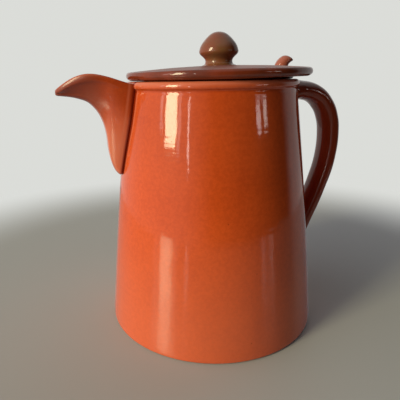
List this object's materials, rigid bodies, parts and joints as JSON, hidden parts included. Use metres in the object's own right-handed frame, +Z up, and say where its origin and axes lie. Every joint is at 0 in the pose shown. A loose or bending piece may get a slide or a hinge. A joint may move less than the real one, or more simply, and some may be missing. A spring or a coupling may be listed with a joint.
{
  "type": "coffee pot",
  "caption": "Glazed earthenware coffee pot: tapered body with a beak spout, a strap handle and a loose domed lid with a knob.",
  "frame": {"origin": "on the pot's axis, in the plane of the table it stands on", "axes": "+Z up along the pot's axis, the spout towards -X and the handle towards +X"},
  "size_m": [0.1896, 0.1416, 0.1881],
  "materials": {
    "pot_glaze": "glossy",
    "lid_glaze": "glossy"
  },
  "bodies": {
    "pot": {"pot_body": "pot_glaze", "spout": "pot_glaze", "handle": "pot_glaze"},
    "lid_assembly": {"lid": "lid_glaze", "lid_knob": "lid_glaze", "lid_thumb_rest": "pot_glaze"}
  },
  "joints": [
    {"name": "lid_lift", "type": "slide", "parent": "pot", "child": "lid_assembly", "axis": [0, 0, 1], "range_m": [0, 0.06]}
  ]
}
